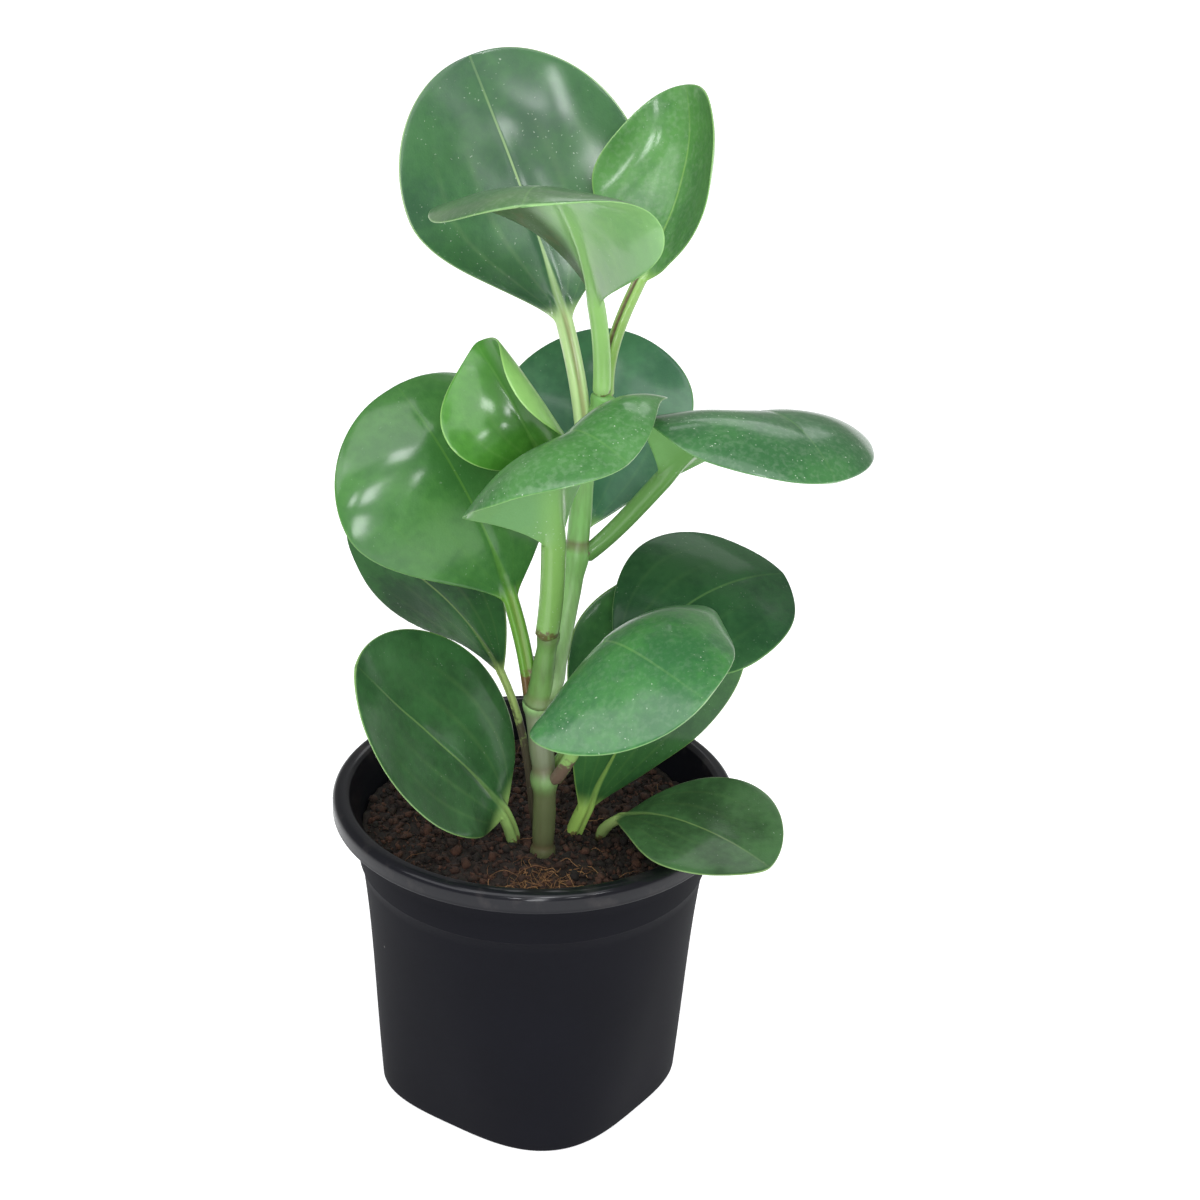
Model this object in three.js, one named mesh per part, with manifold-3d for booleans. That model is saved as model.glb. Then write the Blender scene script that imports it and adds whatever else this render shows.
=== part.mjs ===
// A potted peperomia (Peperomia obtusifolia): a black nursery pot filled with soil, one thick jointed
// stem with its leaves, and four single leaves that stand in the soil beside it.
// Millimetres, +Z up. The origin is the middle of the pot's base, and the front is towards -Y.
import * as THREE from 'three';
import { mergeVertices } from 'three/addons/utils/BufferGeometryUtils.js';
import Module from 'manifold-3d';

const wasm = await Module();
wasm.setup();

const degrees = THREE.MathUtils.degToRad;

// ---------------------------------------------------------------------------- driving dimensions

const seatGap = 0.3; // clearance that is left between pieces that touch

// The pot is round at its rim and turns into a square with round corners at its base.
const pot = {
  height: 108,
  sides: 44,
  rimRadius: 65,
  mouthRadius: 59.2,
  lipHeight: 7,
  bandDepth: 23.5, // from the rim's top down to the step
  bandRadius: 56.8,
  neckRadius: 55.8, // just under the step
  baseHalf: 43.3, // half the width across the flats of the base
  baseSquareness: 3.15, // exponent of the base's superellipse, 2 is round
  squaresOff: 1.9, // how much of the squaring lies near the base
  squareTurn: degrees(-34.5),
  wall: 1.4,
  floor: 1.8,
  footRound: 1.3,
};
const drainHole = { radius: 4.5, count: 8, ring: 29, sides: 12 };

// The soil stops below the rim. Its crumbs are humps of a few millimetres.
const soil = { top: 95, crumb: 0.9, crown: 1.5, topRings: 9 };

// The stem's swollen joints, from the soil upwards, each with its place and its radius.
const stem = {
  root: { at: [3.5, -19, 66], radius: 3.6 },
  foot: { at: [3.5, -19, 96], radius: 4.1 },
  first: { at: [3.5, -18, 122], radius: 4.5 },
  second: { at: [1, -16, 148], radius: 4.9 },
  fork: { at: [5.3, -15, 157], radius: 3.9 },
  third: { at: [11.5, -6, 195], radius: 4.4 },
  fourth: { at: [14, -4, 228], radius: 3.8 },
  top: { at: [18.5, -2, 246], radius: 3.9 },
  branch: { at: [4, -23, 176], radius: 3.5 },
  bud: { at: [-1.5, -12, 162], radius: 1.2 },
};
const internodeShare = 0.82; // an internode's radius as a share of its joints' mean
const stemSides = 10;

// A leaf's blade and stalk are one piece, thicker along the midrib on its lower side.
const blade = {
  edge: 0.36, // half the thickness at the edge
  middle: 0.25, // added to that in the middle of the blade
  tipHalfWidth: 1.2,
  begins: 0.12, // share of the blade's length in which the stalk turns into the blade
  flattens: 0.3, // and in which the ring's points spread from the stalk's round to even ones
  ridgeTaper: 2.5, // how fast the ridge under the midrib runs out
  stations: 14,
};
const stalkStations = 4;
// Across the leaf, from its left edge to its right: shares of the half width in the blade and stalk.
const acrossBlade = [1, 0.7, 0.3, 0, -0.3, -0.7, -1];
const acrossStalk = [1, 0.87, 0.5, 0, -0.5, -0.87, -1];
const leaves = [
  {
    name: 'leaf_top',
    midrib: [[13.5, -2.5, 229], [11, 0, 262], [1, 23, 282], [-25, 43, 338]],
    stalk: 0.31,
    stalkRadius: 2.7,
    facing: [-77, 30],
    twist: -7,
    width: 77,
    widest: 0.51,
    taper: [1.25, 0.45],
    cup: [20, 26],
    fold: 2,
    opening: 0.1,
  },
  {
    name: 'leaf_top_right',
    midrib: [[20, -1, 245], [16, -8, 282], [50, 27, 294], [41, 33, 334]],
    stalk: 0.38,
    stalkRadius: 2.1,
    facing: [-141, 28],
    twist: -1,
    width: 57,
    widest: 0.47,
    taper: [0.95, 0.43],
    cup: [64, 36],
    fold: 12,
    opening: 0.5,
    clearOf: 'leaf_top_front',
  },
  {
    name: 'leaf_top_front',
    midrib: [[18, -3, 247], [20, -5, 287], [0, -14, 332], [-5, -54, 325]],
    stalk: 0.28,
    stalkRadius: 2.8,
    facing: [42, 79],
    twist: 38,
    width: 76,
    widest: 0.58,
    taper: [1.1, 0.4],
    cup: [-15, -29],
    fold: -2,
    opening: 0.6,
  },
  {
    name: 'leaf_young',
    midrib: [[13.5, -5, 227], [4, -29, 221], [3, -46, 247], [-19, -22, 271]],
    stalk: 0.41,
    stalkRadius: 1.8,
    facing: [-116, 43],
    twist: -35,
    width: 47,
    widest: 0.51,
    taper: [1.1, 0.75],
    cup: [30, 128],
    fold: 12,
    opening: 0.1,
    young: true,
  },
  {
    name: 'leaf_front_middle',
    midrib: [[3, -24, 175], [10, -32, 223], [-6, -57, 279], [26, -77, 258]],
    stalk: 0.31,
    stalkRadius: 3.8,
    facing: [175, 67],
    twist: 5,
    width: 73,
    widest: 0.57,
    taper: [1.18, 0.5],
    cup: [-56, -50],
    fold: 25,
    opening: 0.8,
  },
  {
    name: 'leaf_right',
    midrib: [[12.5, -5.5, 194], [41, 3, 212], [61, -16, 281], [86, -56, 245]],
    stalk: 0.3,
    stalkRadius: 3.1,
    facing: [58, 75],
    twist: 22,
    width: 77,
    widest: 0.56,
    taper: [1.07, 0.47],
    cup: [-37, -36],
    fold: 11,
    opening: 1.0,
  },
  {
    name: 'leaf_back',
    midrib: [[11, -3, 194], [15, 10, 197], [19, 21, 234], [17, 43, 251]],
    stalk: 0.13,
    stalkRadius: 2.2,
    facing: [-93, 39],
    twist: 8,
    width: 59,
    widest: 0.62,
    taper: [0.9, 0.54],
    cup: [0, 2],
    fold: 0,
    opening: -0.2,
    clearOf: 'leaf_right',
  },
  {
    name: 'leaf_left',
    midrib: [[-1, -15, 148], [-5, -11, 185], [-21, -31, 233], [-44, -2, 248]],
    stalk: 0.31,
    stalkRadius: 2.5,
    facing: [-92, 55],
    twist: 2,
    width: 76,
    widest: 0.59,
    taper: [1.19, 0.39],
    cup: [-20, -42],
    fold: 2,
    opening: 0.4,
  },
  {
    name: 'leaf_right_middle',
    midrib: [[5, -15, 122], [22, -17, 153], [40, -18, 196], [77, 15, 180]],
    stalk: 0.4,
    stalkRadius: 1.8,
    facing: [-110, 43],
    twist: -28,
    width: 57,
    widest: 0.52,
    taper: [0.8, 0.5],
    cup: [-14, 9],
    fold: -3,
    opening: 0.0,
  },
  {
    name: 'leaf_right_front',
    midrib: [[6, -20, 122], [33, -33, 168], [-2, -32, 201], [51, -79, 185]],
    stalk: 0.28,
    stalkRadius: 2.3,
    facing: [151, 26],
    twist: 5,
    width: 77,
    widest: 0.52,
    taper: [0.89, 0.49],
    cup: [-58, -5],
    fold: -3,
    opening: 1.0,
  },
  {
    name: 'leaf_left_dark',
    midrib: [[0, -3, 98], [-3, -8, 137], [-7, -7, 174], [-61, 18, 190]],
    stalk: 0.44,
    stalkRadius: 1.4,
    facing: [-143, 5],
    twist: 3,
    width: 50,
    widest: 0.5,
    taper: [1.07, 0.59],
    cup: [-10, -10],
    fold: -4,
    opening: -0.7,
    buried: 14,
  },
  {
    name: 'leaf_lower_left',
    midrib: [[-6, -15, 98], [-10, -26, 126], [-34, -24, 138], [-54, -36, 170]],
    stalk: 0.14,
    stalkRadius: 2.4,
    facing: [-77, 63],
    twist: 3,
    width: 65,
    widest: 0.52,
    taper: [0.61, 0.47],
    cup: [16, 8],
    fold: 6,
    opening: -0.3,
    buried: 14,
  },
  {
    name: 'leaf_tall_right',
    midrib: [[13, -6, 95], [20, -9, 119], [41, 12, 141], [47, 18, 182]],
    stalk: 0.09,
    stalkRadius: 2.8,
    facing: [-60, -5],
    twist: -22,
    width: 64,
    widest: 0.61,
    taper: [0.94, 0.54],
    cup: [-18, 14],
    fold: -3,
    opening: 0.3,
    buried: 14,
  },
  {
    name: 'leaf_lower_right',
    midrib: [[22, -10, 98], [27, -21, 116], [47, -23, 117], [74, -48, 110]],
    stalk: 0.17,
    stalkRadius: 1.9,
    facing: [-51, 79],
    twist: 7,
    width: 52,
    widest: 0.56,
    taper: [1.03, 0.6],
    cup: [5, -3],
    fold: 7,
    opening: -0.1,
    buried: 14,
  },
];

// ---------------------------------------------------------------------------- solids

function solidOf(geometry) {
  const merged = mergeVertices(geometry.clone().deleteAttribute('normal').deleteAttribute('uv'), 1e-4);
  const vertProperties = new Float32Array(merged.attributes.position.array);
  const triVerts = new Uint32Array(merged.index.array);
  return new wasm.Manifold(new wasm.Mesh({ numProp: 3, vertProperties, triVerts }));
}

function geometryOf(solid) {
  const mesh = solid.getMesh();
  const geometry = new THREE.BufferGeometry();
  geometry.setAttribute('position', new THREE.BufferAttribute(mesh.vertProperties, 3));
  geometry.setIndex(new THREE.BufferAttribute(mesh.triVerts, 1));
  geometry.computeVertexNormals();
  return geometry;
}

// A closed body through rings of equal count, each running anticlockwise as seen from the last ring.
// Both ends are closed round their middles. The quads of `mirrored` places use their other diagonal.
function loft(rings, mirrored = () => false) {
  const count = rings[0].length;
  const positions = [];
  const index = [];
  const middle = (ring) => ring.reduce((sum, p) => sum.add(p), new THREE.Vector3()).divideScalar(count);
  for (const ring of rings) for (const p of ring) positions.push(p.x, p.y, p.z);
  for (const ring of [rings[0], rings.at(-1)]) positions.push(...middle(ring).toArray());
  const startMiddle = rings.length * count;
  const endMiddle = startMiddle + 1;
  const lastRing = (rings.length - 1) * count;
  for (let j = 0; j < count; j += 1) {
    const next = (j + 1) % count;
    for (let i = 0; i < rings.length - 1; i += 1) {
      const [a, b, c, d] = [i * count + j, i * count + next, (i + 1) * count + next, (i + 1) * count + j];
      if (mirrored(j)) index.push(a, b, d, b, c, d);
      else index.push(a, b, c, a, c, d);
    }
    index.push(startMiddle, next, j);
    index.push(endMiddle, lastRing + j, lastRing + next);
  }
  const geometry = new THREE.BufferGeometry();
  geometry.setAttribute('position', new THREE.Float32BufferAttribute(positions, 3));
  geometry.setIndex(index);
  return geometry;
}

const smooth = (share) => THREE.MathUtils.smoothstep(share, 0, 1);
const mix = THREE.MathUtils.lerp;

// ---------------------------------------------------------------------------- pot and soil

// One level ring of the pot: a superellipse of half width `half` and the given squareness.
function potRing(height, half, squareness) {
  return Array.from({ length: pot.sides }, (_, k) => {
    const angle = (k / pot.sides) * 2 * Math.PI;
    const across = Math.abs(Math.cos(angle - pot.squareTurn)) ** squareness;
    const along = Math.abs(Math.sin(angle - pot.squareTurn)) ** squareness;
    const radius = half / (across + along) ** (1 / squareness);
    return new THREE.Vector3(radius * Math.cos(angle), radius * Math.sin(angle), height);
  });
}

const stepHeight = pot.height - pot.bandDepth;
const lipHeight = pot.height - pot.lipHeight;

// The body's section at a height: it narrows evenly and squares off from the step down to the base.
function bodyRing(height, inset = 0) {
  const share = height / stepHeight;
  const half = mix(pot.baseHalf, pot.neckRadius, share);
  const squareness = mix(2, pot.baseSquareness, Math.max(0, 1 - share) ** pot.squaresOff);
  return potRing(height, half - inset, squareness);
}

const roundRing = (height, radius) => potRing(height, radius, 2);

function potGeometry() {
  const outside = [
    bodyRing(0, pot.footRound),
    bodyRing(pot.footRound * 0.25, pot.footRound * 0.35),
    bodyRing(pot.footRound),
    bodyRing(stepHeight * 0.35),
    bodyRing(stepHeight * 0.7),
    bodyRing(stepHeight),
    roundRing(stepHeight + 1, pot.bandRadius),
    roundRing(lipHeight, pot.bandRadius + 1),
    roundRing(lipHeight + 0.4, pot.rimRadius - 1),
    roundRing(lipHeight + 1.6, pot.rimRadius),
    roundRing(pot.height - 2, pot.rimRadius),
    roundRing(pot.height - 0.5, pot.rimRadius - 1.1),
    roundRing(pot.height, pot.rimRadius - 3),
  ];
  const inside = [
    roundRing(pot.height - 0.5, pot.mouthRadius + 0.9),
    roundRing(pot.height - 2, pot.mouthRadius),
    roundRing(lipHeight, pot.bandRadius + 1 - pot.wall),
    roundRing(stepHeight + 1, pot.bandRadius - pot.wall),
    bodyRing(stepHeight, pot.wall),
    bodyRing(stepHeight * 0.7, pot.wall),
    bodyRing(stepHeight * 0.35, pot.wall),
    bodyRing(pot.floor + pot.footRound, pot.wall),
    bodyRing(pot.floor, pot.wall + pot.footRound),
  ];
  let shell = solidOf(loft([...outside, ...inside]));
  for (let k = 0; k < drainHole.count; k += 1) {
    const angle = pot.squareTurn + (k / drainHole.count) * 2 * Math.PI;
    const bore = new THREE.CylinderGeometry(
      drainHole.radius, drainHole.radius, 4 * pot.floor, drainHole.sides,
    );
    bore.rotateX(Math.PI / 2);
    bore.translate(drainHole.ring * Math.cos(angle), drainHole.ring * Math.sin(angle), 0);
    shell = shell.subtract(solidOf(bore));
  }
  return geometryOf(shell);
}

// How far the soil's crumbs stand up or sink at a place.
function crumbHeight(x, y) {
  const coarse = Math.sin(0.55 * x + 0.3 * y + 1) * Math.cos(0.6 * y - 0.2 * x);
  const fine = Math.sin(1.3 * x - 0.7 * y) * Math.sin(1.1 * y + 0.5 * x + 2);
  return soil.crumb * (coarse + 0.6 * fine);
}

function soilGeometry(plants) {
  const inset = pot.wall + seatGap;
  const wallRing = (height) => (height > stepHeight
    ? roundRing(height, mix(pot.bandRadius, pot.bandRadius + 1, (height - stepHeight - 1) / 15.5) - inset)
    : bodyRing(height, inset));
  const rings = [
    bodyRing(pot.floor + seatGap, inset + pot.footRound),
    wallRing(pot.floor + pot.footRound + seatGap),
    wallRing(stepHeight * 0.35),
    wallRing(stepHeight * 0.7),
    wallRing(stepHeight),
    wallRing(stepHeight + 1 + seatGap),
    wallRing(soil.top - 2.5),
  ];
  const edge = rings.at(-1);
  for (let i = 0; i < soil.topRings; i += 1) {
    const share = 1 - (i + 0.06) / soil.topRings;
    rings.push(edge.map((p) => {
      const x = p.x * share;
      const y = p.y * share;
      return new THREE.Vector3(x, y, soil.top + soil.crown * (1 - share) + crumbHeight(x, y));
    }));
  }
  let body = solidOf(loft(rings, () => true));
  for (const plant of plants) body = body.subtract(plant);
  return geometryOf(body);
}

// ---------------------------------------------------------------------------- stem

// A limb through places, each with its own radius, as round rings square to its middle line.
function limb(places, grown) {
  const path = new THREE.CatmullRomCurve3(places.map(({ at }) => new THREE.Vector3(...at)));
  const last = places.length - 1;
  const rings = [];
  const addRing = (share, radius) => {
    const centre = path.getPoint(share);
    const along = path.getTangent(share);
    const side = new THREE.Vector3(1, 0, 0).cross(along).normalize();
    const other = new THREE.Vector3().crossVectors(along, side);
    rings.push(Array.from({ length: stemSides }, (_, k) => {
      const angle = (k / stemSides) * 2 * Math.PI;
      return centre.clone()
        .addScaledVector(side, radius * Math.cos(angle))
        .addScaledVector(other, radius * Math.sin(angle));
    }));
  };
  places.forEach((place, i) => {
    addRing(i / last, place.radius + grown);
    if (i === last) return;
    const between = internodeShare * (place.radius + places[i + 1].radius) / 2 + grown;
    for (const share of [0.18, 0.5, 0.82]) addRing((i + share) / last, between);
  });
  const rounding = path.getTangent(1).multiplyScalar(0.6 * places[last].radius + grown);
  const ringMiddle = path.getPoint(1);
  rings.push(rings.at(-1).map((p) => p.clone().lerp(ringMiddle, 0.45).add(rounding)));
  for (const p of rings[0]) p.addScaledVector(path.getTangent(0), -grown);
  return solidOf(loft(rings));
}

// The whole stem in one body, optionally grown on all sides to cut its neighbours clear of it.
function stemSolid(grown = 0) {
  const { root, foot, first, second, fork, third, fourth, top, branch, bud } = stem;
  return limb([root, foot, first, second, fork, third, fourth, top], grown)
    .add(limb([second, branch], grown))
    .add(limb([second, bud], grown));
}

// ---------------------------------------------------------------------------- leaves

// Half the blade's width at a share of its length: widest in between, tapered by its own powers.
function bladeHalfWidth(leaf, share) {
  const outline = share < leaf.widest
    ? Math.sin((Math.PI / 2) * (share / leaf.widest)) ** leaf.taper[0]
    : Math.max(0, Math.cos((Math.PI / 2) * ((share - leaf.widest) / (1 - leaf.widest)))) ** leaf.taper[1];
  const collar = leaf.stalkRadius * (1 - share) ** 2;
  return Math.max(blade.tipHalfWidth, Math.hypot((leaf.width / 2) * outline, collar));
}

// A place `s` mm out from the midrib once that half of the blade is folded up and rolled.
function rolled(s, fold, bend) {
  const turn = fold + bend * s;
  return {
    turn,
    out: (Math.sin(turn) - Math.sin(fold)) / bend,
    up: (Math.cos(fold) - Math.cos(turn)) / bend,
  };
}

function leafSolid(leaf, grown = 0) {
  const midrib = new THREE.CubicBezierCurve3(...leaf.midrib.map((at) => new THREE.Vector3(...at)));
  const [azimuth, elevation] = leaf.facing.map(degrees);
  const facing = new THREE.Vector3(
    Math.cos(azimuth) * Math.cos(elevation),
    Math.sin(azimuth) * Math.cos(elevation),
    Math.sin(elevation),
  );
  const edge = Math.min(blade.edge, leaf.stalkRadius);
  const rings = [];
  // `along` is a share of the whole midrib and `share` of the blade's length, which is 0 in the stalk.
  const addRing = (along, share, sunk = 0) => {
    const centre = midrib.getPointAt(along);
    const forward = midrib.getTangentAt(along);
    centre.addScaledVector(forward, -sunk);
    const normal = facing.clone().addScaledVector(forward, -facing.dot(forward)).normalize();
    normal.applyAxisAngle(forward, degrees(leaf.twist) * (share - 0.5));
    const left = new THREE.Vector3().crossVectors(normal, forward);
    const halfWidth = share > 0 ? bladeHalfWidth(leaf, share) : leaf.stalkRadius;
    const opening = 1 + leaf.opening * (2 * share - 1);
    const begun = smooth(share / blade.begins);
    const flatness = smooth(share / blade.flattens);
    const place = (v, face) => {
      const side = Math.sign(v);
      const s = Math.abs(v) * halfWidth;
      const cup = degrees(leaf.cup[v > 0 ? 0 : 1]) * opening;
      const fold = side * side * begun * degrees(leaf.fold);
      const { turn, out, up } = rolled(s, fold, (begun * cup) / (leaf.width / 2) || 1e-6);
      const round = Math.sqrt(Math.max(0, 1 - (s / leaf.stalkRadius) ** 2));
      const ridge = face > 0 ? 1 - smooth(share / blade.begins) : (1 - share) ** blade.ridgeTaper;
      const swelling = blade.middle * (1 - v * v) * flatness;
      const thick = face * (edge + (leaf.stalkRadius - edge) * ridge * round + swelling + grown);
      return centre.clone()
        .addScaledVector(left, side * (out + grown - thick * Math.sin(turn)))
        .addScaledVector(normal, up + thick * Math.cos(turn));
    };
    const across = acrossBlade.map((v, j) => mix(acrossStalk[j], v, flatness));
    rings.push([
      ...across.map((v) => place(v, 1)),
      ...across.toReversed().map((v) => place(v, -1)),
    ]);
  };
  if (leaf.buried) addRing(0, 0, leaf.buried + grown);
  for (let i = 0; i < stalkStations; i += 1) addRing(leaf.stalk * (i / stalkStations), 0);
  for (let i = 0; i <= blade.stations; i += 1) {
    const share = (1 - Math.cos((Math.PI * i) / blade.stations)) / 2; // closer together at both ends
    addRing(mix(leaf.stalk, 1, share), share);
  }
  // Both faces split their quads along the same diagonals, so that they never cross.
  return solidOf(loft(rings, (j) => j >= acrossBlade.length));
}

// ---------------------------------------------------------------------------- assembly

const moulded = new THREE.MeshStandardMaterial({ color: 0x25262b, roughness: 0.42, metalness: 0 });
const peat = new THREE.MeshStandardMaterial({ color: 0x2f1d16, roughness: 0.95, metalness: 0 });
const stemGreen = new THREE.MeshStandardMaterial({ color: 0x8a9a5c, roughness: 0.5, metalness: 0 });
const leafGreen = new THREE.MeshStandardMaterial({ color: 0x3f7a3a, roughness: 0.35, metalness: 0 });
const youngGreen = new THREE.MeshStandardMaterial({ color: 0x63a53b, roughness: 0.32, metalness: 0 });

const group = new THREE.Group();

function addNode(name, geometry, material) {
  const mesh = new THREE.Mesh(geometry, material);
  mesh.name = name;
  group.add(mesh);
}

const grownStem = stemSolid(seatGap);
const cuttings = leaves.filter((leaf) => leaf.buried).map((leaf) => leafSolid(leaf, seatGap));

addNode('pot', potGeometry(), moulded);
addNode('soil', soilGeometry([grownStem, ...cuttings]), peat);
addNode('stem', geometryOf(stemSolid()), stemGreen);
for (const leaf of leaves) {
  let body = leafSolid(leaf);
  if (!leaf.buried) body = body.subtract(grownStem);
  const neighbour = leaves.find(({ name }) => name === leaf.clearOf);
  if (neighbour) body = body.subtract(leafSolid(neighbour, seatGap));
  // A cut can leave a crumb behind, so only the largest body is kept.
  body = body.decompose().reduce((largest, other) => (other.volume() > largest.volume() ? other : largest));
  addNode(leaf.name, geometryOf(body), leaf.young ? youngGreen : leafGreen);
}

export default group;
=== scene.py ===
# %% [markdown]
# # A potted peperomia
#
# A young Peperomia obtusifolia in the black nursery pot that it was sold in. The pot is thin moulded
# plastic, the soil is peat with coir, and the plant is one jointed stem with ten leaves and four single
# leaves that were struck beside it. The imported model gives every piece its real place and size. This
# script gives each piece its finished surface, in metres, in the same frame.

# %% The frame
import math
import random

import bmesh
import bpy
from mathutils import Matrix, Vector, geometry, noise


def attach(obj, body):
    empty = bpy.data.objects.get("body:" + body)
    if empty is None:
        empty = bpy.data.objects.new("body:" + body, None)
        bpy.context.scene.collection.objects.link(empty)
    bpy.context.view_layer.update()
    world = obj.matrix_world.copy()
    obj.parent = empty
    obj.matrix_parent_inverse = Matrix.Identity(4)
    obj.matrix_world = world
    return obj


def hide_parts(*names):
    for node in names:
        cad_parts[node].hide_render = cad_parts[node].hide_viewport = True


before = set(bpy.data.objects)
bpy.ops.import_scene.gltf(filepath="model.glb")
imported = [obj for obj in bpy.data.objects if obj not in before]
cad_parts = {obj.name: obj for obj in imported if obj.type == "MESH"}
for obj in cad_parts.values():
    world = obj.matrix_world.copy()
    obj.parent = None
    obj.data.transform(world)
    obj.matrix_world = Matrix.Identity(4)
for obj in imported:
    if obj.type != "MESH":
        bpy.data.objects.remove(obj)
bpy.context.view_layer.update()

MM = 0.001

# %% [markdown]
# ## Helpers that every piece needs
#
# Colours are written as the hex values that a screen shows. Blender's shaders count in linear light, so
# one function turns the first into the second. A second function adds one shader node: settings go in by
# name, and an input is either a plain value or another node's output, which is then linked.

# %% Colours and nodes
def linear(hex_colour):
    """A screen colour such as #3c6e3a as linear RGBA."""
    def channel(value):
        return value / 12.92 if value <= 0.04045 else ((value + 0.055) / 1.055) ** 2.4
    return (*(channel(int(hex_colour[i:i + 2], 16) / 255) for i in (1, 3, 5)), 1.0)


def add_node(tree, kind, inputs=None, **settings):
    """One shader node. An input that is given as a socket is linked, any other is set."""
    made = tree.nodes.new("ShaderNode" + kind)
    for name, value in settings.items():
        setattr(made, name, value)
    for name, value in (inputs or {}).items():
        if isinstance(value, bpy.types.NodeSocket):
            tree.links.new(value, made.inputs[name])
        else:
            made.inputs[name].default_value = value
    return made


FACTOR, COLOUR_A, COLOUR_B, MIXED = 0, 6, 7, 2  # a colour Mix node's sockets by number


def new_material(name):
    """An empty node material with its output, ready for a shader."""
    material = bpy.data.materials.new(name)
    material.use_nodes = True
    material.node_tree.nodes.clear()
    return material, material.node_tree


# %% [markdown]
# ## How a grown skin is made
#
# A stem, a stalk and a leaf are all one closed skin: a tube that is round in the stalk and very flat in
# the blade. So each starts as a flat grid. One side of the grid runs along the piece, the other runs once
# round its section. The grid is bent into the piece's form, its two long edges meet and are merged, and
# each end shrinks to a point, which closes the skin. The values that a finish needs later, such as how
# far a spot is from the leaf's edge, are stored on the same vertices.

# %% A grid rolled into a closed skin
def rolled_skin(name, stations, around, stored, place):
    """A closed skin. place(station, turn) gives the spot in mm and the values stored there."""
    shape = bmesh.new()
    for key in stored:
        shape.verts.layers.float.new(key)
    bmesh.ops.create_grid(shape, x_segments=stations, y_segments=around, size=0.5)
    for vert in shape.verts:
        station = round((vert.co.x + 0.5) * stations)
        turn = vert.co.y + 0.5
        spot, values = place(station, turn)
        vert.co = spot * MM
        for key, value in zip(stored, values):
            vert[shape.verts.layers.float[key]] = value
    bmesh.ops.remove_doubles(shape, verts=shape.verts[:], dist=0.004 * MM)
    return finished_object(name, shape)


def finished_object(name, shape):
    """Turns the bmesh into an object at the origin, smooth and with its faces outwards."""
    bmesh.ops.recalc_face_normals(shape, faces=shape.faces[:])
    for face in shape.faces:
        face.smooth = True
    mesh = bpy.data.meshes.new(name)
    shape.to_mesh(mesh)
    shape.free()
    piece = bpy.data.objects.new(name, mesh)
    bpy.context.scene.collection.objects.link(piece)
    return piece


def smooth(share):
    """An S-curve from 0 to 1."""
    share = min(1.0, max(0.0, share))
    return share * share * (3 - 2 * share)


def mix(a, b, share):
    return a + (b - a) * share


# %% [markdown]
# ## The leaves' forms
#
# Every leaf of this plant is built alike: a fleshy stalk that runs on as the midrib, and a blunt round
# blade. What differs is how the midrib bends, which way the blade faces, how wide it is and how its halves
# cup or roll back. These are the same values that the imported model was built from, in millimetres and
# degrees. `cup` and `fold` bend the left and right half up, a minus bends them down, and `opening` is how
# much stronger that bend is at the tip than at the base.

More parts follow.
